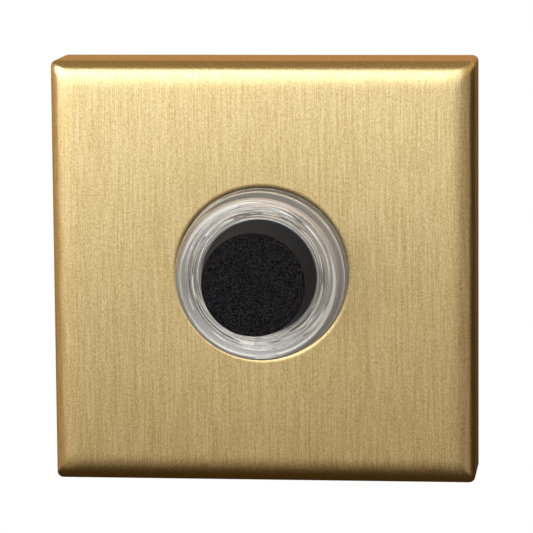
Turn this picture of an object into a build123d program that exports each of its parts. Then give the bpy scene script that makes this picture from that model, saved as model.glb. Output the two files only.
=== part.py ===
from build123d import *
import os

# Doorbell push for a wall or door frame. A nylon tray is screwed to the wall, a clear collar is
# clamped in the tray by a nut, a black button slides in the collar against a spring, and a brass
# cover snaps over the tray and hides its screws. Lengths are in millimetres.
# The pieces are drawn with X to the right, Y up the wall and Z out of the wall, wall face at Z = 0.
# They are turned at the end so that the wall face is at Y = 0, the front looks along -Y and Z is up.

# Brass cover
plate_side = 50.0
plate_depth = 10.0             # from the wall to the front face
plate_wall = 1.6
plate_face = 2.0
plate_edge_round = 1.7         # round the front face
plate_corner_round = 0.4       # down the four corners
plate_pocket_round = 1.5
plate_hole_chamfer = 0.45

# Nylon tray
tray_gap = 0.2                 # all round, inside the cover
tray_headroom = 2.4            # behind the cover's face
tray_web = 2.0
tray_wall = 1.8
tray_corner_round = 1.3
rib_thickness = 1.2
rib_recess = 0.6               # ribs stay this far off the wall
spanner_room = 1.2             # round the corners of the nut
nut_ring_wall = 1.6
wall_screw_inset = 5.2         # from the edge of the tray to the screw
wall_screw_radius = 2.1
wall_screw_head_radius = 4.0
wall_screw_sink = 1.9
wall_screw_boss_radius = 4.0

# Snap tongues in the tray's top and bottom walls, and their grooves in the cover
tongue_width = 10.0
tongue_inset = 12.2            # from the corner of the tray to the middle of the tongue
tongue_slit = 0.8
ridge_height = 0.45
ridge_length = 1.2
ridge_lift = 1.0               # from the wall
snap_gap = 0.25
groove_play = 1.0

# Black button
cap_radius = 6.65
cap_draft = 0.65               # radius lost from the collar to the front
cap_proud = 9.5                # front of the button above the cover
cap_top = 1.6
cap_wall = 1.0                 # at the front
cap_edge_chamfer = 0.3
skirt_length = 6.7             # inside the collar
button_travel = 1.8
stem_radius = 1.9
neck_step = 0.7
neck_tail = 0.8                # past the clip
neck_chamfer = 0.25

# Clear collar
cap_fit = 0.1                  # radial, button in bore
stem_fit = 0.08                # radial, stem in web
collar_proud = 3.2             # above the cover
collar_rim_bevel = 0.8         # round the outside, at 45 degrees
collar_gap = 0.2               # radial, in the hole of the cover
collar_lip_chamfer = 0.3       # round the bore
flange_overhang = 2.1          # from the barrel to the rim
barrel_wall = 1.15
barrel_end_chamfer = 0.4
barrel_fit = 0.15              # radial, barrel in tray and washer
skirt_gap = 1.7                # from the pressed skirt to the web
web_thickness = 1.5
key_width = 2.0
key_height = 0.7
key_fit = 0.15
key_setback = 0.3              # from the back of the tray's web

# Flange seal
seal_thickness = 0.5
seal_inset = 0.3

# Lock washer and ring nut
washer_thickness = 0.6
washer_inset = 0.3             # inside the flats of the nut
washer_teeth = 12
tooth_gap_width = 1.4
tooth_gap_depth = 1.1
nut_thickness = 2.8
nut_wall = 2.1                 # from the barrel to the flats
nut_fit = 0.05
nut_bevel = 0.5

# Return spring
spring_wire = 0.6
spring_turns = 4
spring_side_gap = 0.35         # from the inside of the button
spring_end_gap = 0.05

# Contact disc and its clip, on the neck of the button
bridge_thickness = 0.5
bridge_edge_gap = 1.25         # radial, in the barrel
bridge_rest_gap = 0.1          # from the web
neck_fit = 0.05
clip_radius = 2.2
clip_thickness = 0.5
clip_slits = 6
clip_slit_width = 0.35
clip_slit_length = 0.55

# Terminal strips
strip_thickness = 0.5
strip_width = 4.0
strip_inset = 0.75             # from the inside of the barrel
strip_bend = 0.4
contact_gap = 0.05             # from the contact disc when the button is fully pressed
contact_reach_gap = 0.4        # from the clip to the strip's inner end
strip_tail_gap = 0.75          # from the fin to the strip's rear end

# Rear plug
plug_gap = 3.3                 # from the pressed stem to the plug
plug_length = 4.0
plug_flange = 1.2
plug_fit = 0.05
strip_fit = 0.05
fin_thickness = 0.9
fin_height = 2.2
barb_width = 2.6
barb_length = 1.3
barb_height = 0.7
barb_lift = 1.2                # from the end of the barrel
window_gap = 0.15

# Clamp screws and washers
clamp_side = 4.4
clamp_thickness = 0.7
clamp_screw_radius = 1.25
clamp_screw_fit = 0.1
clamp_screw_inset = 2.6        # from the outside of the strip
clamp_screw_grip = 3.0         # in the plug
clamp_head_radius = 2.1
clamp_head_height = 1.4
clamp_head_chamfer = 0.25
clamp_slot_width = 0.6
clamp_slot_depth = 0.7

radius_match = 0.001           # an edge this near to a radius is that circle

# Levels along Z, from the front to the back
cap_front = plate_depth + cap_proud
cap_ceiling = cap_front - cap_top
collar_front = plate_depth + collar_proud
collar_rim = collar_front - collar_rim_bevel
cover_ceiling = plate_depth - plate_face
tray_front = cover_ceiling - tray_headroom
tray_web_back = tray_front - tray_web
flange_back = tray_front + seal_thickness
washer_back = tray_web_back - washer_thickness
nut_back = washer_back - nut_thickness
skirt_end = collar_front - skirt_length
web_front = skirt_end - button_travel - skirt_gap
web_back = web_front - web_thickness
bridge_front = web_back - bridge_rest_gap
bridge_back = bridge_front - bridge_thickness
clip_back = bridge_back - clip_thickness
neck_end = clip_back - neck_tail
contact_front = bridge_back - button_travel - contact_gap
plug_front = neck_end - button_travel - plug_gap
barrel_end = plug_front - plug_length
plug_back = barrel_end - plug_flange
strip_back = plug_back - strip_thickness
clamp_back = strip_back - clamp_thickness
clamp_head_back = clamp_back - clamp_head_height
fin_end = plug_back - fin_height

# Radii and places across the axis
cap_front_radius = cap_radius - cap_draft
cap_hollow_radius = cap_front_radius - cap_wall
neck_radius = stem_radius - neck_step
bore_radius = cap_radius + cap_fit
barrel_radius = bore_radius + barrel_wall
flange_radius = barrel_radius + flange_overhang
plate_hole_radius = flange_radius + collar_gap
tray_hole_radius = barrel_radius + barrel_fit
nut_flat_radius = barrel_radius + nut_wall
nut_corner_radius = 2 * nut_flat_radius / 3**0.5
nut_room_radius = nut_corner_radius + spanner_room
spring_radius = cap_hollow_radius - spring_side_gap - spring_wire / 2
plug_radius = bore_radius - plug_fit
strip_outside = bore_radius - strip_inset
clamp_screw_place = strip_outside - clamp_screw_inset
plate_half = plate_side / 2
pocket_half = plate_half - plate_wall
tray_half = pocket_half - tray_gap
wall_screw_place = tray_half - wall_screw_inset
tongue_place = tray_half - tongue_inset

base_up = (Align.CENTER, Align.CENTER, Align.MIN)


def rod(radius, back, front):
    # Round bar on the axis between two levels
    return Pos(0, 0, back) * Cylinder(radius, front - back, align=base_up)


def tube(outer, inner, back, front):
    return rod(outer, back, front) - rod(inner, back, front)


def block(width, height, back, front):
    # Square-cornered bar on the axis between two levels
    return Pos(0, 0, back) * Box(width, height, front - back, align=base_up)


def rounded_block(side, corner, back, front):
    return Pos(0, 0, back) * extrude(RectangleRounded(side, side, corner), front - back)


def turned(outline):
    # Solid of revolution about Z from a closed outline of (radius, level) points
    points = [(radius, 0, level) for radius, level in outline]
    return revolve(make_face(Polyline(*points, close=True)), Axis.Z)


def front_circle(solid, radius):
    # The edge of this radius nearest the front
    circles = solid.edges().filter_by(GeomType.CIRCLE)
    matching = circles.filter_by(lambda edge: abs(edge.radius - radius) < radius_match)
    return matching.sort_by(Axis.Z)[-1]


def tongue_places():
    return [Pos(side * tongue_place, 0, 0) for side in (-1, 1)]


def make_cover_plate():
    # Pressed and machined shell, open to the wall, with a round hole for the collar
    shell = rounded_block(plate_side, plate_corner_round, 0, plate_depth)
    front_edges = shell.faces().sort_by(Axis.Z)[-1].edges()
    shell = fillet(front_edges, plate_edge_round)
    shell -= rounded_block(2 * pocket_half, plate_pocket_round, 0, cover_ceiling)
    shell -= rod(plate_hole_radius, 0, plate_depth)
    shell = chamfer(front_circle(shell, plate_hole_radius), plate_hole_chamfer)
    groove_depth = ridge_height - tray_gap + snap_gap
    groove_half = pocket_half + groove_depth
    groove = Pos(0, 0, ridge_lift - snap_gap) * Box(
        tongue_width + 2 * groove_play, 2 * groove_half, ridge_length + 2 * snap_gap, align=base_up)
    for place in tongue_places():
        shell -= place * groove
    return shell


def make_base_plate():
    # Moulded tray, open to the wall: web, outer wall, screw bosses, nut ring and diagonal ribs
    envelope = rounded_block(2 * tray_half, tray_corner_round, 0, tray_front)
    hollow = rounded_block(2 * (tray_half - tray_wall), tray_corner_round, 0, tray_web_back)
    tray = envelope - hollow
    ring = tube(nut_room_radius + nut_ring_wall, nut_room_radius, 0, tray_web_back)
    rib_length = 2 * 2**0.5 * (tray_half - tray_wall)
    rib = block(rib_length, rib_thickness, rib_recess, tray_web_back)
    for turn in (45, 135):
        tray += Rot(0, 0, turn) * rib
    tray += ring
    for side in (-1, 1):
        tray += Pos(side * wall_screw_place, 0, 0) * rod(wall_screw_boss_radius, 0, tray_web_back)
    tray &= envelope
    tray -= rod(nut_room_radius, 0, tray_web_back)
    tray -= rod(tray_hole_radius, 0, tray_front)
    key_room = 2 * (barrel_radius + key_height + key_fit)
    tray -= Pos(0, -key_room / 4, 0) * block(key_width + 2 * key_fit, key_room / 2, 0, tray_front)
    sink = turned([(0, tray_front), (wall_screw_head_radius, tray_front),
                   (wall_screw_radius, tray_front - wall_screw_sink), (wall_screw_radius, 0), (0, 0)])
    for side in (-1, 1):
        tray -= Pos(side * wall_screw_place, 0, 0) * sink
    return cut_tongues(tray)


def cut_tongues(tray):
    # Two slits free each tongue from the outer wall, and a ridge on it catches the cover's groove
    slit = Box(tongue_slit, tray_wall, tray_web_back, align=base_up)
    slit_offset = (tongue_width + tongue_slit) / 2
    ridge_face = make_face(Plane.YZ * Polyline(
        (tray_half - tray_wall / 2, ridge_lift), (tray_half, ridge_lift),
        (tray_half + ridge_height, ridge_lift + ridge_length / 2),
        (tray_half, ridge_lift + ridge_length), (tray_half - tray_wall / 2, ridge_lift + ridge_length),
        close=True))
    ridge = extrude(ridge_face, tongue_width / 2, both=True)
    for turn in (0, 180):
        for place in tongue_places():
            for side in (-1, 1):
                wall_middle = Pos(side * slit_offset, tray_half - tray_wall / 2, 0)
                tray -= Rot(0, 0, turn) * place * wall_middle * slit
            tray += Rot(0, 0, turn) * place * ridge
    return tray


def make_flange_seal():
    inner = barrel_radius + key_height + key_fit
    return tube(flange_radius - seal_inset, inner, tray_front, flange_back)


def make_clear_collar():
    # Flange in front with a flat face and a bevelled rim, barrel through the tray, web with a
    # guide hole for the stem
    face_edge = flange_radius - collar_rim_bevel
    collar = turned([(0, collar_front), (face_edge, collar_front), (flange_radius, collar_rim),
                     (flange_radius, flange_back), (barrel_radius, flange_back),
                     (barrel_radius, barrel_end), (0, barrel_end)])
    collar -= rod(bore_radius, web_front, collar_front)
    collar -= rod(stem_radius + stem_fit, web_back, web_front)
    collar -= rod(bore_radius, barrel_end, web_back)
    collar = chamfer(front_circle(collar, bore_radius), collar_lip_chamfer)
    end_edges = collar.edges().filter_by(GeomType.CIRCLE).group_by(Axis.Z)[0]
    collar = chamfer(end_edges.sort_by(SortBy.RADIUS)[-1], barrel_end_chamfer)
    key_end = tray_web_back + key_setback
    key_middle = barrel_radius - barrel_wall / 2
    key_depth = key_height + barrel_wall / 2
    key = Pos(0, -key_middle, 0) * Box(
        key_width, key_depth, flange_back - key_end, align=(Align.CENTER, Align.MAX, Align.MIN))
    collar += Pos(0, 0, key_end) * key
    window = block(barb_width + 2 * window_gap, 2 * barrel_radius, barrel_end + barb_lift - window_gap,
                   barrel_end + barb_lift + barb_length + window_gap)
    return collar - window


def make_button_cap():
    # Tapered nose, straight skirt in the collar, hollow for the spring, stepped stem on the axis
    cap = turned([(0, cap_front), (cap_front_radius, cap_front), (cap_radius, collar_front),
                  (cap_radius, skirt_end), (cap_hollow_radius, skirt_end),
                  (cap_hollow_radius, cap_ceiling), (stem_radius, cap_ceiling),
                  (stem_radius, bridge_front),
                  (neck_radius, bridge_front), (neck_radius, neck_end), (0, neck_end)])
    cap = chamfer(front_circle(cap, cap_front_radius), cap_edge_chamfer)
    tip = cap.edges().filter_by(GeomType.CIRCLE).group_by(Axis.Z)[0]
    return chamfer(tip, neck_chamfer)


def make_return_spring():
    # Open-coiled spring with ground ends, between the web and the inside of the button.
    # A six-sided section stands for the round wire.
    spring_front = cap_ceiling - spring_end_gap
    length = spring_front - web_front
    path = Pos(0, 0, web_front) * Helix(length / spring_turns, length, spring_radius)
    section = Plane(path @ 0, z_dir=path % 0) * RegularPolygon(spring_wire / 2, 6)
    coil = sweep(section, path=path, is_frenet=True)
    ground = tube(spring_radius + spring_wire, spring_radius - spring_wire, web_front, spring_front)
    return coil & ground


def make_contact_bridge():
    return tube(bore_radius - bridge_edge_gap, neck_radius + neck_fit, bridge_back, bridge_front)


def make_stem_clip():
    # Push-on washer with a star of slits round the neck
    inner = neck_radius + neck_fit
    clip = tube(clip_radius, inner, clip_back, bridge_back)
    slit = Box(clip_slit_length, clip_slit_width, clip_thickness,
               align=(Align.MIN, Align.CENTER, Align.MIN))
    for place in PolarLocations(inner - neck_fit, clip_slits):
        clip -= Pos(0, 0, clip_back) * place * slit
    return clip


def make_terminal(side):
    # Strip bent to a C: contact tab in the barrel, leg through the plug, tab under the clamp screw
    centre_line = strip_outside - strip_thickness / 2
    contact_level = contact_front - strip_thickness / 2
    tail_level = plug_back - strip_thickness / 2
    line = FilletPolyline((clip_radius + contact_reach_gap, contact_level), (centre_line, contact_level),
                          (centre_line, tail_level), (fin_thickness / 2 + strip_tail_gap, tail_level),
                          radius=strip_bend + strip_thickness / 2)
    strip = Rot(90, 0, 0) * extrude(trace(line, strip_thickness), strip_width / 2, both=True)
    screw_hole = rod(clamp_screw_radius + clamp_screw_fit, strip_back, plug_back)
    strip -= Pos(clamp_screw_place, 0, 0) * screw_hole
    if side < 0:
        strip = mirror(strip, Plane.YZ)
    return strip


def make_terminal_base():
    # Plug in the end of the barrel, with slots for the strips, a fin between them and two barbs
    plug = rod(plug_radius, barrel_end, plug_front) + rod(barrel_radius, plug_back, barrel_end)
    plug += block(fin_thickness, 2 * plug_radius - 2 * barb_height, fin_end, plug_back)
    leg_room = strip_thickness + strip_bend + 2 * strip_fit
    slot = Box(leg_room, strip_width + 2 * strip_fit, plug_front - plug_back,
               align=(Align.MAX, Align.CENTER, Align.MIN))
    screw_hole = rod(clamp_screw_radius + clamp_screw_fit, plug_back, plug_front)
    for side in (0, 180):
        turn = Rot(0, 0, side)
        plug -= turn * Pos(strip_outside + strip_fit, 0, plug_back) * slot
        plug -= turn * Pos(clamp_screw_place, 0, 0) * screw_hole
    barb_back = barrel_end + barb_lift
    barb_face = make_face(Plane.YZ * Polyline(
        (plug_radius - barb_height, barb_back), (plug_radius + barb_height, barb_back),
        (plug_radius - barb_height, barb_back + barb_length), close=True))
    barb = extrude(barb_face, barb_width / 2, both=True)
    for side in (0, 180):
        plug += Rot(0, 0, side) * barb
    return plug


def make_wire_clamp(side):
    outline = Rectangle(clamp_side, clamp_side) - Circle(clamp_screw_radius + clamp_screw_fit)
    clamp = extrude(outline, clamp_thickness)
    return Pos(side * clamp_screw_place, 0, clamp_back) * clamp


def make_terminal_screws():
    # Two slotted cheese-head screws, one on each side of the fin
    shank = rod(clamp_screw_radius, clamp_back, plug_back + clamp_screw_grip)
    head = rod(clamp_head_radius, clamp_head_back, clamp_back)
    back_edge = head.edges().filter_by(GeomType.CIRCLE).sort_by(Axis.Z)[0]
    head = chamfer(back_edge, clamp_head_chamfer)
    slot = block(clamp_slot_width, 2 * clamp_head_radius, clamp_head_back,
                 clamp_head_back + clamp_slot_depth)
    screw = head + shank - slot
    return Pos(-clamp_screw_place, 0, 0) * screw + Pos(clamp_screw_place, 0, 0) * screw


def make_lock_washer():
    # Flat ring with teeth round its inside
    outer = nut_flat_radius - washer_inset
    inner = barrel_radius + barrel_fit
    ring = tube(outer, inner, washer_back, tray_web_back)
    gap = Box(tooth_gap_depth, tooth_gap_width, washer_thickness,
              align=(Align.MIN, Align.CENTER, Align.MIN))
    for place in PolarLocations(inner - barrel_fit, washer_teeth):
        ring -= Pos(0, 0, washer_back) * place * gap
    return ring


def make_ring_nut():
    # Thin hexagon nut with its corners bevelled on both faces
    hexagon = extrude(RegularPolygon(nut_flat_radius, 6, major_radius=False), nut_thickness)
    face_radius = nut_corner_radius - nut_bevel
    bevel = turned([(0, 0), (face_radius, 0), (nut_corner_radius, nut_bevel),
                    (nut_corner_radius, nut_thickness - nut_bevel), (face_radius, nut_thickness),
                    (0, nut_thickness)])
    nut = hexagon & bevel
    nut -= rod(barrel_radius + nut_fit, 0, nut_thickness)
    return Pos(0, 0, nut_back) * nut


def main():
    pieces = {
        "cover_plate": make_cover_plate(),
        "base_plate": make_base_plate(),
        "flange_seal": make_flange_seal(),
        "clear_collar": make_clear_collar(),
        "button_cap": make_button_cap(),
        "return_spring": make_return_spring(),
        "contact_bridge": make_contact_bridge(),
        "stem_clip": make_stem_clip(),
        "terminal_left": make_terminal(-1),
        "terminal_right": make_terminal(1),
        "terminal_base": make_terminal_base(),
        "wire_clamp_left": make_wire_clamp(-1),
        "wire_clamp_right": make_wire_clamp(1),
        "terminal_screws": make_terminal_screws(),
        "lock_washer": make_lock_washer(),
        "ring_nut": make_ring_nut(),
    }
    os.makedirs("parts", exist_ok=True)
    face_forward = Rot(90, 0, 0)
    for name, piece in pieces.items():
        export_step(face_forward * piece, os.path.join("parts", name + ".step"))


main()
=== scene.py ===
import math

import bmesh
import bpy
import numpy as np
from mathutils import Matrix, Vector


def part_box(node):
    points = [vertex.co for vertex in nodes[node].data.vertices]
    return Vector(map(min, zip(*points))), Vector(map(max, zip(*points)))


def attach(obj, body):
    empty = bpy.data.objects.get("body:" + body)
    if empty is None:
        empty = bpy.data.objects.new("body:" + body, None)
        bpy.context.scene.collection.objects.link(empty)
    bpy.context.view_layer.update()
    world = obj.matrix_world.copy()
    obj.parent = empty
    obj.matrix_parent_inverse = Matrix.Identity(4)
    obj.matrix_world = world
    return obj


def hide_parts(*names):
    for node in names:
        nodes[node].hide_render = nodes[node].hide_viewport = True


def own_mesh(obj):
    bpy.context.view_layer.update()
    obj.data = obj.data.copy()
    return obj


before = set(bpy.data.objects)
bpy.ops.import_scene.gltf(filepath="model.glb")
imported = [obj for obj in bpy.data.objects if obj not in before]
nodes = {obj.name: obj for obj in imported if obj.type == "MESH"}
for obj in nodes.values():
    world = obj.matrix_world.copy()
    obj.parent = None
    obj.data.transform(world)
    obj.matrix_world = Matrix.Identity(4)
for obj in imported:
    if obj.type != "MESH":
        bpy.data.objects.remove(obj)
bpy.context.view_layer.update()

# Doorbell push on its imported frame. The wall face is at y = 0, the button looks along -y and z is up.
# Pieces are worked out in millimetres, with heights counted from the wall towards the front.
mm = 0.001
quarterTurn = math.pi / 2
fullTurn = 2 * math.pi
cornerRows = 8                          # points in each rounded corner of an outline
support = 0.05                          # from a rounded corner to the row that holds the straight
weldReach = 1e-4                        # points nearer than this become one
sharpAngle = 32                         # degrees between two faces that leave a crease
scene = bpy.context.scene


def toLinear(hexColour):
    # sRGB hex to linear red, green, blue and alpha
    channels = np.array([int(hexColour[i:i + 2], 16) for i in (1, 3, 5)]) / 255
    linear = np.where(channels <= 0.04045, channels / 12.92, ((channels + 0.055) / 1.055) ** 2.4)
    return (*linear.tolist(), 1.0)


def addNode(tree, kind, settings=None, links=None):
    # settings are socket values or node properties, links are {socket: the output that feeds it}
    node = tree.nodes.new(kind)
    for key, value in (settings or {}).items():
        if isinstance(key, str) and hasattr(node, key):
            setattr(node, key, value)
        else:
            node.inputs[key].default_value = value
    for key, output in (links or {}).items():
        tree.links.new(output, node.inputs[key])
    return node


def newMaterial(name, surface):
    # Material with one Principled surface; surface gives the values that are the same all over
    material = bpy.data.materials.new(name)
    material.use_nodes = True
    tree = material.node_tree
    tree.nodes.clear()
    shader = addNode(tree, "ShaderNodeBsdfPrincipled", surface)
    addNode(tree, "ShaderNodeOutputMaterial", links={"Surface": shader.outputs["BSDF"]})
    place = addNode(tree, "ShaderNodeTexCoord").outputs["Object"]
    return material, tree, shader, place


def paint(piece, material):
    if len(piece.material_slots) == 0:
        piece.data.materials.append(material)
    for slot in piece.material_slots:
        slot.material = material


def perMetre(sizes):
    # How often a pattern of these sizes in millimetres repeats in a metre
    return tuple(1 / (size * mm) for size in sizes)


def gridPiece(name, points, body, material, openRows=False, skip=None, extraFaces=()):
    # Surface through a grid of points (rows, columns, xyz), closed across the columns and, unless openRows,
    # across the rows. skip marks grid faces to leave out; extraFaces are more faces by vertex number.
    # Rows that shrink to one point are welded into a pole.
    rows, columns = points.shape[:2]
    number = np.arange(rows * columns).reshape(rows, columns)
    nextRow = np.roll(number, -1, axis=0)
    quads = np.stack([number, np.roll(number, -1, axis=1), np.roll(nextRow, -1, axis=1), nextRow], axis=-1)
    kept = np.ones((rows, columns), bool) if skip is None else ~skip
    if openRows:
        kept[-1] = False
    mesh = bpy.data.meshes.new(name)
    mesh.from_pydata((points.reshape(-1, 3) * mm).tolist(), [], quads[kept].tolist() + [*extraFaces])
    welded = bmesh.new()
    welded.from_mesh(mesh)
    bmesh.ops.remove_doubles(welded, verts=welded.verts, dist=weldReach * mm)
    welded.to_mesh(mesh)
    welded.free()
    mesh.polygons.foreach_set("use_smooth", np.ones(len(mesh.polygons), bool))
    mesh.set_sharp_from_angle(angle=math.radians(sharpAngle))
    piece = bpy.data.objects.new(name, mesh)
    scene.collection.objects.link(piece)
    paint(piece, material)
    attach(piece, body)
    return piece


def roundCorners(corners, reach, openEnds=False):
    # Outline whose corners become short curves: each is a quadratic curve between the points that lie its
    # reach before and after the corner, with one more point on each straight, a support away.
    corners = np.asarray(corners, float)
    reach = reach[:, None]
    before = np.roll(corners, 1, axis=0) - corners
    after = np.roll(corners, -1, axis=0) - corners
    before /= np.linalg.norm(before, axis=1, keepdims=True)
    after /= np.linalg.norm(after, axis=1, keepdims=True)
    t = np.linspace(0, 1, cornerRows - 2)[None, :, None]
    start, end = corners + before * reach, corners + after * reach
    curve = start[:, None] * (1 - t) ** 2 + corners[:, None] * 2 * t * (1 - t) + end[:, None] * t ** 2
    lead, tail = start + before * support, end + after * support
    outline = np.concatenate([lead[:, None], curve, tail[:, None]], axis=1)
    if openEnds:
        return np.concatenate([corners[:1], outline[1:-1].reshape(-1, 2), corners[-1:]])
    return outline.reshape(-1, 2)


def turnedPoints(outline, columns):
    # Outline of (radius, height) carried round the button's axis
    angle = np.arange(columns) * (fullTurn / columns)
    radius, height = outline[:, 0:1], outline[:, 1:2]
    return np.stack([radius * np.cos(angle), -height + 0 * angle, radius * np.sin(angle)], axis=-1)


def nodeSpan(node):
    # Half width, back and front height of a CAD node, in millimetres
    low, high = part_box(node)
    return high.x / mm, -high.y / mm, -low.y / mm


# Brass cover: satin brass, brushed up and down and lacquered. The eye sees a soft gold sheen, drawn out
# sideways by the brush lines, that dies away quickly towards the rounded edges.
brassSettings = {
    "colours": ("#C7AC6E", "#F6E8B9"),  # dark and light streaks
    "edgeTint": "#F0D0B0",              # reflections at a flat angle
    "roughness": 0.43,
    "roughnessSpread": 0.04,
    "edgeRoughness": 0.27,              # the brush only works the flat face
    "edgeSpan": (-9.97, -9.5),          # y over which the finish changes
    "anisotropic": 0.5,
    "lacquer": 0.1,
    "lacquerRoughness": 0.35,
    "lineSize": (0.12, 0.12, 5.0),      # width, depth and length of a brush line
    "lineDetail": 0.5,
    "cloudSize": (9.0, 9.0, 22.0),      # slow change in the finish
    "cloudDetail": 2.0,
    "noiseRoughness": 0.6,
    "grainSize": (0.09, 0.09, 0.12),    # glints between the lines, a little coarser than real
    "grainShare": 1.0,
    "toneSpan": (0.44, 1.56),           # lines and glints added up, from dark to light
    "glossSpan": (0.7, 1.3),            # lines and clouds added up, from smooth to rough
    "bumpHeight": 0.004,
}


def makeBrushedBrass():
    s = brassSettings
    material, tree, shader, place = newMaterial("satin_brushed_brass", {
        "Metallic": 1.0, "Anisotropic": s["anisotropic"], "Specular Tint": toLinear(s["edgeTint"]),
        "Coat Weight": s["lacquer"], "Coat Roughness": s["lacquerRoughness"]})
    spread = {}
    for part in ("line", "cloud", "grain"):
        scale = perMetre(s[part + "Size"])
        spread[part] = addNode(tree, "ShaderNodeMapping", {"Scale": scale}, {"Vector": place}).outputs[0]
    noise = {}
    for part in ("line", "cloud"):
        noise[part] = addNode(tree, "ShaderNodeTexNoise", {
            "Scale": 1.0, "Detail": s[part + "Detail"], "Roughness": s["noiseRoughness"]},
            {"Vector": spread[part]}).outputs["Fac"]
    grain = addNode(tree, "ShaderNodeTexVoronoi", {"Scale": 1.0}, {"Vector": spread["grain"]})
    both = addNode(tree, "ShaderNodeMath", {"operation": "MULTIPLY_ADD", 1: s["grainShare"]},
                   {0: grain.outputs["Color"], 2: noise["line"]})
    tone = addNode(tree, "ShaderNodeMapRange", {
        "From Min": s["toneSpan"][0], "From Max": s["toneSpan"][1]}, {"Value": both.outputs[0]})
    dark, light = (toLinear(colour) for colour in s["colours"])
    colour = addNode(tree, "ShaderNodeMix", {"data_type": "RGBA", 6: dark, 7: light}, {0: tone.outputs[0]})
    tree.links.new(colour.outputs[2], shader.inputs["Base Color"])
    gloss = addNode(tree, "ShaderNodeMath", {"operation": "ADD"}, {0: noise["line"], 1: noise["cloud"]})
    uneven = addNode(tree, "ShaderNodeMapRange", {
        "From Min": s["glossSpan"][0], "From Max": s["glossSpan"][1],
        "To Min": -s["roughnessSpread"] / 2, "To Max": s["roughnessSpread"] / 2},
        {"Value": gloss.outputs[0]})
    level = addNode(tree, "ShaderNodeSeparateXYZ", links={0: place}).outputs["Y"]
    worked = addNode(tree, "ShaderNodeMapRange", {
        "From Min": s["edgeSpan"][0] * mm, "From Max": s["edgeSpan"][1] * mm,
        "To Min": s["roughness"], "To Max": s["edgeRoughness"]}, {"Value": level})
    rough = addNode(tree, "ShaderNodeMath", {"operation": "ADD"},
                    {0: uneven.outputs[0], 1: worked.outputs[0]})
    tree.links.new(rough.outputs[0], shader.inputs["Roughness"])
    bump = addNode(tree, "ShaderNodeBump", {"Strength": 1.0, "Distance": s["bumpHeight"] * mm},
                   {"Height": noise["line"]})
    tree.links.new(bump.outputs[0], shader.inputs["Normal"])
    return material


coverSettings = {
    "edgeDrop": 1.6,
    "edgeEase": 2.7,                    # 1 is a plain quarter circle, more runs out slower into the face
    "edgeSteps": 22,
    "edgeParts": 20,                    # finer parts of each step, over which the bend is added up
    "cornerRound": 0.7,
    "faceCornerRound": 1.3,             # where the edge round runs out into the face
    "wall": 1.6,
    "face": 2.0,
    "pocketRound": 1.5,
    "holeRadius": 10.16,
    "holeEdge": 0.05,
    "rollWidth": 0.5,                   # the face rolls over gently at the hole, as polishing leaves it
    "rollDrop": 0.07,
    "rollSteps": 9,
    "rimBevel": 0.15,                   # both edges of the wall at the open back
    "grooveDepth": 0.5,
    "grooveSpan": (0.75, 2.45),         # heights
    "groovePlace": 11.0,                # either side of the middle, in the top and bottom walls
    "grooveWidth": 12.0,
    "grooveSlope": 0.02,                # half the run of a groove's ends
    "sideSteps": 44,
    "cornerSteps": 7,
}


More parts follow.
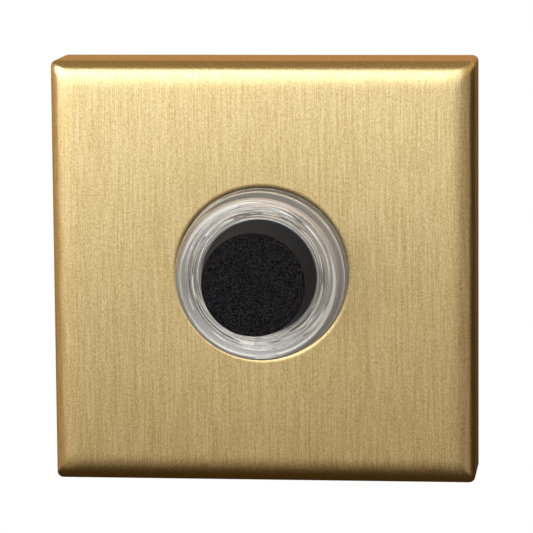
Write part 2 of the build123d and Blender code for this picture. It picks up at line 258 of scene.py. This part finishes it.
def makeCoverPlate():
    # A closed section carried round a square. Each row is a loop at one height: a rounded square
    # x = (h - c) + c cos f, z = u (h - c) + c sin f, turned to each of the four sides, with u running along
    # the side and f round the corner, or a circle through the same directions. The front edge bends from
    # the wall to the face by 90 degrees times 1 - (1 - t) ** ease at t along it, so it is tightest at the
    # wall, and round the hole the face falls by the square of the way in.
    s = coverSettings
    half, _, depth = nodeSpan("cover_plate")
    drop, bevel, slope = s["edgeDrop"], s["rimBevel"], s["grooveSlope"]
    straight = half - s["wall"] - s["pocketRound"]
    ends = [side * s["groovePlace"] + way * s["grooveWidth"] / 2 for side in (-1, 1) for way in (-1, 1)]
    breaks = [(end + offset) / straight for end in ends for offset in (-slope, slope)]
    along = np.unique(np.concatenate([np.linspace(-1, 1, s["sideSteps"]), breaks]))
    turn = np.linspace(0, quarterTurn, s["cornerSteps"] + 1)[1:-1]
    sideRun = np.tile(np.concatenate([along, np.ones_like(turn)]), 4)
    cornerRun = np.tile(np.concatenate([np.zeros_like(along), turn]), 4)
    sideTurn = np.repeat(np.arange(4) * quarterTurn, len(along) + len(turn))

    def squareLoop(h, c, height):
        across = (h - c) + c * np.cos(cornerRun)
        up = sideRun * (h - c) + c * np.sin(cornerRun)
        return np.stack([across * np.cos(sideTurn) - up * np.sin(sideTurn), np.full_like(across, -height),
                         across * np.sin(sideTurn) + up * np.cos(sideTurn)], axis=-1)

    reference = squareLoop(half, s["cornerRound"], 0)
    heading = np.arctan2(reference[:, 2], reference[:, 0])

    def circleLoop(radius, height):
        return np.stack([radius * np.cos(heading), np.full_like(heading, -height),
                         radius * np.sin(heading)], axis=-1)

    # wall and front edge
    loops = [squareLoop(half - bevel, s["cornerRound"], 0), squareLoop(half, s["cornerRound"], bevel),
             squareLoop(half, s["cornerRound"], depth - drop - support)]
    t = np.linspace(0, 1, s["edgeParts"] * s["edgeSteps"] + 1)
    bend = quarterTurn * (1 - (1 - t) ** s["edgeEase"])
    middle = (bend[1:] + bend[:-1]) / 2
    rise = np.concatenate([[0], np.cumsum(np.cos(middle))])
    inset = np.concatenate([[0], np.cumsum(np.sin(middle))]) * drop / rise[-1]
    rise *= drop / rise[-1]
    corner = s["cornerRound"] + (s["faceCornerRound"] - s["cornerRound"]) * t
    for i in range(0, len(t), s["edgeParts"]):
        loops.append(squareLoop(half - inset[i], corner[i], depth - drop + rise[i]))
    loops.append(squareLoop(half - inset[-1] - support, s["faceCornerRound"], depth))
    # face and hole
    mouth = s["holeRadius"] + s["holeEdge"]
    for inward in np.linspace(0, 1, s["rollSteps"]):
        loops.append(circleLoop(mouth + s["rollWidth"] * (1 - inward), depth - s["rollDrop"] * inward ** 2))
    ceiling = depth - s["face"]
    loops.append(circleLoop(s["holeRadius"], depth - s["rollDrop"] - s["holeEdge"]))
    loops.append(circleLoop(s["holeRadius"], ceiling))
    # pocket, with the grooves that the tray's tongues snap into
    pocket = half - s["wall"]
    low, high = s["grooveSpan"]
    plain = squareLoop(pocket, s["pocketRound"], 0)
    inGroove = ((np.abs(np.abs(plain[:, 0]) - s["groovePlace"]) < s["grooveWidth"] / 2)
                & (np.abs(np.abs(plain[:, 2]) - pocket) < slope))
    cut = np.sign(plain[:, 2]) * s["grooveDepth"] * inGroove
    for height, share in ((ceiling, 0), (high, 0), (high, 1), (low, 1), (low, 0), (bevel, 0)):
        loop = squareLoop(pocket, s["pocketRound"], height)
        loop[:, 2] += cut * share
        loops.append(loop)
    loops.append(squareLoop(pocket + bevel, s["pocketRound"], 0))
    piece = gridPiece("brass_cover", np.array(loops), "housing", makeBrushedBrass())
    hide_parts("cover_plate")


makeCoverPlate()
print("cover plate done")

# Clear collar: injection-moulded polycarbonate, polished. The eye sees bright rings where its edges bend
# the light and a pale grey body where it gathers the light of the seal and tray behind it.
clearSettings = {
    "colour": "#F4F5F4",
    "ior": 1.585,
    "clarity": 0.86,                    # the rest is a milky haze
    "roughness": (0.02, 0.05),
    "flowSize": (3.0, 3.0, 3.0),        # slow ripples of the moulded skin
    "flowDetail": 2.0,
    "flowSpan": (0.35, 0.7),            # ripples from smooth to rough
    "bumpHeight": 0.012,
}


def makeClearPlastic():
    s = clearSettings
    material, tree, shader, place = newMaterial("clear_polycarbonate", {
        "Base Color": toLinear(s["colour"]), "IOR": s["ior"], "Transmission Weight": s["clarity"]})
    spread = addNode(tree, "ShaderNodeMapping", {"Scale": perMetre(s["flowSize"])}, {"Vector": place})
    flow = addNode(tree, "ShaderNodeTexNoise", {"Scale": 1.0, "Detail": s["flowDetail"]},
                   {"Vector": spread.outputs[0]}).outputs["Fac"]
    rough = addNode(tree, "ShaderNodeMapRange", {
        "From Min": s["flowSpan"][0], "From Max": s["flowSpan"][1],
        "To Min": s["roughness"][0], "To Max": s["roughness"][1]}, {"Value": flow})
    tree.links.new(rough.outputs[0], shader.inputs["Roughness"])
    bump = addNode(tree, "ShaderNodeBump", {"Strength": 1.0, "Distance": s["bumpHeight"] * mm},
                   {"Height": flow})
    tree.links.new(bump.outputs[0], shader.inputs["Normal"])
    return material


collarSettings = {
    "columns": 240,
    "rimBevel": 0.8,
    "rimDrop": 0.75,
    "lipChamfer": 0.3,
    "boreRadius": 6.75,
    "barrelRadius": 7.9,
    "stemHole": 1.98,
    "webBack": 1.5,
    "webFront": 3.0,
    "flangeBack": 6.13,                 # a hair off the seal, so that light can pass between them
    "endChamfer": 0.4,
    "rimRound": 0.42,                   # reach of the rim's soft edges
    "lipRound": 0.12,
    "edgeRound": 0.08,
    "ringPitch": 0.7,                   # fine rings left by turning the mould's face
    "ringDepth": 0.1,
    "ringRows": 32,
    "ringSwell": 0.8,                   # share of their depth by which the rings swell and fade
    "swellTurns": (2, 5),               # waves of each sine in one turn
    "swellLean": (2.2, -3.1),           # and how far it leans, in radians per millimetre of radius
    "threadPitch": 1.0,
    "threadDepth": 0.5,
    "threadSlope": 1.5,                 # flanks steeper than a plain saw
    "threadFlat": 0.25,                 # flat at the crests and roots
    "threadSpan": (-6.2, 3.4),
    "threadRunOut": 0.6,
    "threadSteps": 12,                  # points in one turn's profile
    "windowHalf": 7,                    # columns to each side of the window's middle
    "windowSpan": (-8.45, -6.85),
    "keyHalfAngle": 7.3,
    "keyHeight": 0.7,
    "keyStart": 3.9,
    "keySlope": 0.01,                   # half the run of the key's end
}


def makeClearCollar():
    # A closed outline of radius and height turned about the axis. The face falls by a cosine of its radius,
    # once in each ring pitch, and these rings swell and fade by the product of two sines of angle and
    # radius. On the barrel the radius falls by a clipped saw of height / pitch - angle / turn, which winds
    # into a screw thread.
    s = collarSettings
    flange, back, front = nodeSpan("clear_collar")
    bore, barrel = s["boreRadius"], s["barrelRadius"]
    lip = bore + s["lipChamfer"]
    corners = [(flange, s["flangeBack"]), (flange, front - s["rimDrop"]), (flange - s["rimBevel"], front),
               (lip, front), (bore, front - s["lipChamfer"]),
               (bore, s["webFront"]), (s["stemHole"], s["webFront"]), (s["stemHole"], s["webBack"]),
               (bore, s["webBack"]), (bore, back), (barrel - s["endChamfer"], back),
               (barrel, back + s["endChamfer"]), (barrel, s["flangeBack"])]
    reach = np.full(len(corners), s["edgeRound"])
    reach[1:3] = s["rimRound"]          # both corners of the rim
    reach[3:5] = s["lipRound"]          # and of the lip
    outline = roundCorners(corners, reach)
    # more rows before three of the corners: rings on the face, windows inside the barrel, and windows,
    # thread and key outside it
    faceAt, insideAt, outsideAt = (corner * cornerRows for corner in (3, 9, 12))
    low, high = s["threadSpan"]
    threadRows = np.linspace(low, high, int((high - low) / s["threadPitch"] * s["threadSteps"]))
    keyRows = [s["keyStart"] - s["keySlope"], s["keyStart"] + s["keySlope"]]
    outsideRows = np.concatenate([s["windowSpan"], threadRows, keyRows])
    insideRows = s["windowSpan"][::-1]
    ringFrom, ringTo = flange - s["rimBevel"] - s["rimRound"], lip + s["lipRound"]
    faceRows = np.linspace(ringFrom, ringTo, s["ringRows"] + 2)[1:-1]
    dip = s["ringDepth"] * (1 - np.cos(fullTurn * faceRows / s["ringPitch"])) / 2
    outline = np.insert(outline, outsideAt, np.c_[np.full(len(outsideRows), barrel), outsideRows], axis=0)
    outline = np.insert(outline, insideAt, np.c_[np.full(len(insideRows), bore), insideRows], axis=0)
    outline = np.insert(outline, faceAt, np.c_[faceRows, front - dip], axis=0)
    insideAt += len(faceRows)
    outsideAt += len(faceRows) + len(insideRows)
    points = turnedPoints(outline, s["columns"])
    height = -points[..., 1]
    angle = np.arctan2(points[..., 2], points[..., 0])
    radius = np.hypot(points[..., 0], points[..., 2])
    # rings
    face = slice(faceAt, faceAt + len(faceRows))
    swell = np.prod([np.sin(turns * angle[face] + lean * radius[face])
                     for turns, lean in zip(s["swellTurns"], s["swellLean"])], axis=0)
    points[face, :, 1] += s["ringSwell"] * dip[:, None] * swell
    # thread and key
    outside = np.isclose(radius, barrel)
    saw = np.abs(((height / s["threadPitch"] - angle / fullTurn) % 1) * 2 - 1)
    fade = np.clip(np.minimum(height - low, high - height) / s["threadRunOut"], 0, 1)
    cut = s["threadDepth"] * np.clip(saw * s["threadSlope"] - s["threadFlat"], 0, 1) * fade * outside
    fromBelow = np.degrees(np.arccos(np.clip(-np.sin(angle), -1, 1)))
    onKey = (fromBelow < s["keyHalfAngle"]) & outside & (height > s["keyStart"])
    scale = (radius - cut + s["keyHeight"] * onKey) / radius
    points *= np.stack([scale, np.ones_like(scale), scale], axis=-1)
    # windows: grid faces left out of both walls, and four sides put in
    skip = np.zeros(points.shape[:2], bool)
    sides = []
    number = np.arange(skip.size).reshape(skip.shape)
    inHigh, inLow, outLow, outHigh = number[[insideAt, insideAt + 1, outsideAt, outsideAt + 1]]
    for middle in (s["columns"] // 4, 3 * s["columns"] // 4):
        first, last = middle - s["windowHalf"], middle + s["windowHalf"]
        skip[[insideAt, outsideAt], first:last] = True
        k = np.arange(first, last)
        sides += np.stack([outLow[k], outLow[k + 1], inLow[k + 1], inLow[k]], axis=-1).tolist()
        sides += np.stack([outHigh[k + 1], outHigh[k], inHigh[k], inHigh[k + 1]], axis=-1).tolist()
        sides.append([int(row[first]) for row in (outLow, inLow, inHigh, outHigh)])
        sides.append([int(row[last]) for row in (outHigh, inHigh, inLow, outLow)])
    piece = gridPiece("clear_collar_body", points, "housing", makeClearPlastic(), skip=skip,
                      extraFaces=sides)
    piece.visible_shadow = False        # lamplight passes through to what lies behind
    piece.visible_glossy = False        # and so does what the brass round it reflects
    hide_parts("clear_collar")


makeClearCollar()
print("clear collar done")


def dressSurface(name, surface, s, pattern):
    # Finish from one pattern at the size in s, which mixes two colours and sets roughness and bump
    material, tree, shader, place = newMaterial(name, surface)
    spread = addNode(tree, "ShaderNodeMapping", {"Scale": perMetre(s["patternSize"])}, {"Vector": place})
    texture = addNode(tree, pattern["kind"], pattern["settings"], {"Vector": spread.outputs[0]})
    marks = texture.outputs[pattern["output"]]
    tone = addNode(tree, "ShaderNodeMapRange", {
        "From Min": pattern["toneSpan"][0], "From Max": pattern["toneSpan"][1]}, {"Value": marks})
    first, second = (toLinear(colour) for colour in s["colours"])
    colour = addNode(tree, "ShaderNodeMix", {"data_type": "RGBA", 6: first, 7: second},
                     {0: tone.outputs[0]})
    tree.links.new(colour.outputs[2], shader.inputs["Base Color"])
    rough = addNode(tree, "ShaderNodeMapRange", {
        "From Min": pattern["roughSpan"][0], "From Max": pattern["roughSpan"][1],
        "To Min": s["roughness"][0], "To Max": s["roughness"][1]}, {"Value": marks})
    tree.links.new(rough.outputs[0], shader.inputs["Roughness"])
    bump = addNode(tree, "ShaderNodeBump", {"Strength": 1.0, "Distance": s["bumpHeight"] * mm},
                   {"Height": marks})
    tree.links.new(bump.outputs[0], shader.inputs["Normal"])
    for node in s["nodes"]:
        paint(nodes[node], material)
    return material


# Moulded pieces share one pattern: a grain of small cells that breaks up the sheen and varies the colour
mouldedPattern = {
    "kind": "ShaderNodeTexVoronoi",
    "settings": {"Scale": 1.0},
    "output": "Color",
    "toneSpan": (0.45, 1.1),            # values from the first colour to the second
    "roughSpan": (0.3, 0.7),            # values from the smoother to the rougher places
}
mouldedSettings = {
    # Button: black ABS from a finely spark-eroded tool, deep black with tiny grey specks. The pits of the
    # grain swallow much of its gloss and catch light at a flat angle. The real grit is a little finer.
    "grained_black_abs": {"colours": ("#010101", "#333337"), "ior": 1.54, "specular": 0.04, "sheen": 0.05,
                          "sheenTint": "#DAE6FD", "roughness": (0.57, 0.75),
                          "patternSize": (0.095, 0.095, 0.095), "bumpHeight": 0.012, "nodes": ()},
    # Tray: natural nylon, off-white and slightly waxy, with a fine matt grain
    "natural_nylon": {"colours": ("#DDD8CA", "#E8E4D9"), "ior": 1.53, "specular": 0.5, "sheen": 0.0,
                      "sheenTint": "#FFFFFF", "roughness": (0.4, 0.58),
                      "patternSize": (0.35, 0.35, 0.35), "bumpHeight": 0.01, "nodes": ("base_plate",)},
    # Seal: silicone rubber, matt and even. Its colour is painted shade: darkened to the grey of the ring
    # that shows through the collar
    "moulded_silicone": {"colours": ("#848382", "#8E8D8C"), "ior": 1.41, "specular": 0.5, "sheen": 0.0,
                         "sheenTint": "#FFFFFF", "roughness": (0.47, 0.65),
                         "patternSize": (0.5, 0.5, 0.5), "bumpHeight": 0.006, "nodes": ("flange_seal",)},
    # Rear plug: dark brown phenolic, hard and half glossy, faintly mottled by its filler
    "brown_phenolic": {"colours": ("#2A2320", "#3A302A"), "ior": 1.6, "specular": 0.5, "sheen": 0.0,
                       "sheenTint": "#FFFFFF", "roughness": (0.28, 0.46),
                       "patternSize": (0.6, 0.6, 0.6), "bumpHeight": 0.006, "nodes": ("terminal_base",)},
}


def makeMoulded(name):
    s = mouldedSettings[name]
    surface = {"IOR": s["ior"], "Specular IOR Level": s["specular"], "Sheen Weight": s["sheen"],
               "Sheen Tint": toLinear(s["sheenTint"])}
    return dressSurface(name, surface, s, mouldedPattern)


moulded = {name: makeMoulded(name) for name in mouldedSettings}
print("moulded finishes done")

capSettings = {
    "columns": 160,
    "radius": 6.65,
    "frontRadius": 6.0,
    "frontRound": 0.35,
    "top": 1.6,                         # thickness of the front
    "hollowRadius": 5.0,
    "skirtEnd": 6.5,
    "skirtTop": 13.2,
    "stemRadius": 1.9,
    "neckRadius": 1.2,
    "neckStart": 1.4,
    "neckRound": 0.25,
    "edgeRound": 0.1,
}


def makeButtonCap():
    # An outline of radius and height turned about the axis: stepped stem, hollow for the spring, straight
    # skirt and tapered nose. It starts and ends on the axis.
    s = capSettings
    _, neckEnd, front = nodeSpan("button_cap")
    ceiling = front - s["top"]
    corners = [(0, neckEnd), (s["neckRadius"], neckEnd), (s["neckRadius"], s["neckStart"]),
               (s["stemRadius"], s["neckStart"]), (s["stemRadius"], ceiling), (s["hollowRadius"], ceiling),
               (s["hollowRadius"], s["skirtEnd"]), (s["radius"], s["skirtEnd"]),
               (s["radius"], s["skirtTop"]), (s["frontRadius"], front), (0, front)]
    reach = np.full(len(corners), s["edgeRound"])
    reach[1] = s["neckRound"]           # end of the neck
    reach[-2] = s["frontRound"]         # rim of the front
    points = turnedPoints(roundCorners(corners, reach, openEnds=True), s["columns"])
    piece = gridPiece("black_button", points, "button", moulded["grained_black_abs"], openRows=True)
    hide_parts("button_cap")


makeButtonCap()
print("button done")

# Metal pieces share one pattern: fine marks of their making, on most of them drawn out along the work
metalPattern = {
    "kind": "ShaderNodeTexNoise",
    "settings": {"Scale": 1.0, "Detail": 3.0, "Roughness": 0.6},
    "output": "Fac",
    "toneSpan": (0.0, 1.0),
    "roughSpan": (0.3, 0.7),
}
metalSettings = {
    # Spring and clip: drawn music wire, bright with faint lines along the wire
    "bright_spring_steel": {"colours": ("#A9ABAF", "#C4C6C9"), "roughness": (0.2, 0.36),
                            "patternSize": (0.25, 0.12, 0.25), "bumpHeight": 0.002,
                            "nodes": ("stem_clip",)},
    # Contacts: rolled phosphor bronze, a pinkish copper tone with fine roller lines
    "rolled_phosphor_bronze": {"colours": ("#B77B50", "#CE9667"), "roughness": (0.24, 0.4),
                               "patternSize": (2.5, 2.5, 0.12), "bumpHeight": 0.002,
                               "nodes": ("contact_bridge", "terminal_left", "terminal_right")},
    # Clamp washers and lock washer: steel, bright zinc plated, slightly clouded
    "zinc_plated_steel": {"colours": ("#AEB4BC", "#C7CCD3"), "roughness": (0.28, 0.44),
                          "patternSize": (0.6, 0.6, 0.6), "bumpHeight": 0.003,
                          "nodes": ("wire_clamp_left", "wire_clamp_right", "lock_washer")},
    # Clamp screws: free-cutting brass off an automatic lathe, bright with fine tool rings
    "turned_brass": {"colours": ("#C49A4C", "#DDB765"), "roughness": (0.19, 0.35),
                     "patternSize": (0.9, 0.08, 0.9), "bumpHeight": 0.002, "nodes": ("terminal_screws",)},
    # Ring nut: nickel plated brass, warm silver
    "nickel_plated_brass": {"colours": ("#BDB5A3", "#CFC8B8"), "roughness": (0.16, 0.32),
                            "patternSize": (0.9, 0.15, 0.9), "bumpHeight": 0.002, "nodes": ("ring_nut",)},
}

metals = {name: dressSurface(name, {"Metallic": 1.0}, s, metalPattern) for name, s in metalSettings.items()}
print("metal finishes done")

springSettings = {
    "wireRadius": 0.3,
    "turns": 4,
    "stepsInTurn": 72,
    "wireSteps": 14,
}


def makeReturnSpring():
    # A round wire carried along a helix: the centre climbs evenly with the angle, the section is a circle
    # on the radial direction and the one square to it, and both ends are ground flat by clipping the
    # height.
    s = springSettings
    outer, low, high = nodeSpan("return_spring")
    coil = outer - s["wireRadius"]
    rows = s["turns"] * s["stepsInTurn"] + 1
    angle = np.linspace(0, fullTurn * s["turns"], rows)[:, None]
    section = np.arange(s["wireSteps"]) * (-fullTurn / s["wireSteps"])
    rise = (high - low) / (fullTurn * s["turns"])
    slope = math.atan2(rise, coil)
    radial = s["wireRadius"] * np.cos(section)
    square = s["wireRadius"] * np.sin(section)
    radius = coil + radial + 0 * angle
    sideways = -square * math.sin(slope)
    height = np.clip(low + rise * angle + square * math.cos(slope), low, high)
    points = np.stack([radius * np.cos(angle) - sideways * np.sin(angle), -height,
                       radius * np.sin(angle) + sideways * np.cos(angle)], axis=-1)
    ends = points.mean(axis=1, keepdims=True) + 0 * points
    points = np.concatenate([ends[:1], points, ends[-1:]])
    piece = gridPiece("coil_spring", points, "housing", metals["bright_spring_steel"], openRows=True)
    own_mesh(piece)
    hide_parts("return_spring")


makeReturnSpring()
print("spring done")

# Camera at the photograph's viewing angle, from above and to the right of the plate's axis
cameraSettings = {
    "distance": 400.0,
    "yaw": 5.7,
    "pitch": 7.4,
    "roll": -0.395,
    "focal": 6.3208,                    # in frame widths
    "target": (5.121, -5.0, 5.271),
    "shift": (-0.08, -0.08),
    "nearest": 10.0,                    # nothing closer than this is drawn
}


def makeCamera():
    s = cameraSettings
    yaw, pitch, roll = (math.radians(s[key]) for key in ("yaw", "pitch", "roll"))
    look = np.array([-math.sin(yaw) * math.cos(pitch), math.cos(yaw) * math.cos(pitch), -math.sin(pitch)])
    level = np.array([math.cos(yaw), math.sin(yaw), 0])
    upright = np.cross(level, look)
    axes = np.stack([level * math.cos(roll) + upright * math.sin(roll),
                     upright * math.cos(roll) - level * math.sin(roll), -look], axis=-1)
    camera = bpy.data.objects.new("camera", bpy.data.cameras.new("camera"))
    camera.data.lens = s["focal"] * camera.data.sensor_width
    camera.data.shift_x, camera.data.shift_y = s["shift"]
    camera.data.clip_start = s["nearest"] * mm
    camera.matrix_world = Matrix.LocRotScale((np.array(s["target"]) - look * s["distance"]) * mm,
                                             Matrix(axes.tolist()).to_quaternion(), None)
    scene.collection.objects.link(camera)
    scene.camera = camera
    return look


lookDirection = makeCamera()
print("camera done")

# Studio: a large soft lamp at the upper left of the front, weak warm ones at the right and the lower left,
# a fill from the right that no reflection shows, and two more such lamps behind for the back. The room is
# a warm tone, dark below, lightest a little above eye level and darker again overhead. The camera and clear
# pieces see it white, and reflections do straight behind the object. A pale floor lies well below.
studioSettings = {
    "lamps": {
        "key_lamp": {"place": (-154.0, -303.0, 134.0), "size": (500.0, 300.0), "watts": 1.35,
                     "colour": "#F0F8FF"},
        "right_lamp": {"place": (305.0, -254.0, -56.0), "size": (300.0, 260.0), "watts": 0.08,
                       "colour": "#FFF2E2"},
        "low_lamp": {"place": (-250.0, -465.0, -105.0), "size": (400.0, 400.0), "watts": 0.10,
                     "colour": "#FFE0B4"},
        "fill_lamp": {"place": (230.0, -330.0, 10.0), "size": (260.0, 260.0), "watts": 1.1,
                      "colour": "#FFFFFF", "inMetal": False},
        "back_lamp": {"place": (-250.0, 380.0, 260.0), "size": (300.0, 300.0), "watts": 0.6,
                      "colour": "#FFFFFF", "inMetal": False},
        "back_fill": {"place": (250.0, 350.0, 300.0), "size": (300.0, 300.0), "watts": 0.9,
                      "colour": "#FFFFFF", "inMetal": False},
    },
    "roomLow": "#42321A",
    "roomHigh": "#D6B68C",
    "roomTop": "#9E8766",               # overhead
    "roomRise": (-0.2, 0.0, 0.98),      # up and a little to the left, the way that both spans run
    "roomSpan": (-0.28, 0.24),          # from the low to the high colour
    "topSpan": (0.3, 0.8),              # from the high colour to the one overhead
    "white": "#FFFFFF",
    "whiteSpan": (8.0, 5.0),            # degrees from the camera's line of sight, room to white
    "floorLevel": -1300.0,              # as far down as a bell push is mounted
    "floorHalf": 500.0,
    "floorColour": "#D8CFC2",
    "floorRoughness": 0.8,
}


def addLamp(name, place, size, watts, colour, inMetal=True):
    lamp = bpy.data.objects.new(name, bpy.data.lights.new(name, "AREA"))
    lamp.data.shape = "RECTANGLE"
    lamp.data.size, lamp.data.size_y = (length * mm for length in size)
    lamp.data.energy = watts
    lamp.data.color = toLinear(colour)[:3]
    lamp.visible_camera = False
    lamp.visible_glossy = inMetal       # else no reflection shows it
    place = Vector(place) * mm
    lamp.matrix_world = Matrix.LocRotScale(place, (-place).to_track_quat("-Z", "Y"), None)
    scene.collection.objects.link(lamp)


def makeRoom():
    s = studioSettings
    world = bpy.data.worlds.new("studio")
    world.use_nodes = True
    scene.world = world
    tree = world.node_tree
    tree.nodes.clear()
    direction = addNode(tree, "ShaderNodeTexCoord").outputs["Generated"]
    whiteSpan = [math.cos(math.radians(degrees)) for degrees in s["whiteSpan"]]
    fades = []
    for way, span in ((s["roomRise"], s["roomSpan"]), (s["roomRise"], s["topSpan"]),
                      (lookDirection.tolist(), whiteSpan)):
        along = addNode(tree, "ShaderNodeVectorMath", {"operation": "DOT_PRODUCT", 1: way}, {0: direction})
        fade = addNode(tree, "ShaderNodeMapRange", {
            "interpolation_type": "SMOOTHSTEP", "From Min": span[0], "From Max": span[1]},
            {"Value": along.outputs["Value"]})
        fades.append(fade.outputs[0])
    rays = addNode(tree, "ShaderNodeLightPath").outputs
    for ray in ("Is Camera Ray", "Is Transmission Ray"):
        fades[-1] = addNode(tree, "ShaderNodeMath", {"operation": "MAXIMUM"},
                            {0: rays[ray], 1: fades[-1]}).outputs[0]
    # each colour is laid over the ones before it by its fade
    layers = []
    for fade, colour in zip(fades, ("roomHigh", "roomTop", "white")):
        layers.append(addNode(tree, "ShaderNodeMix", {
            "data_type": "RGBA", 6: toLinear(s["roomLow"]), 7: toLinear(s[colour])}, {0: fade}))
    for under, over in zip(layers, layers[1:]):
        tree.links.new(under.outputs[2], over.inputs[6])
    background = addNode(tree, "ShaderNodeBackground", links={"Color": layers[-1].outputs[2]})
    addNode(tree, "ShaderNodeOutputWorld", links={"Surface": background.outputs[0]})


def makeFloor():
    # a square sheet of board, painted pale and matt
    s = studioSettings
    half, level = s["floorHalf"] * mm, s["floorLevel"] * mm
    mesh = bpy.data.meshes.new("studio_floor")
    corners = [(-half, -half, level), (half, -half, level), (half, half, level), (-half, half, level)]
    mesh.from_pydata(corners, [], [(0, 1, 2, 3)])
    floor = bpy.data.objects.new("studio_floor", mesh)
    scene.collection.objects.link(floor)
    board = {"Base Color": toLinear(s["floorColour"]), "Roughness": s["floorRoughness"]}
    paint(floor, newMaterial("painted_board", board)[0])
    floor.visible_glossy = False        # the brass reflects the room's low colour there


for name, lamp in studioSettings["lamps"].items():
    addLamp(name, **lamp)
makeRoom()
makeFloor()
scene.view_settings.view_transform = "Standard"
print("studio done")
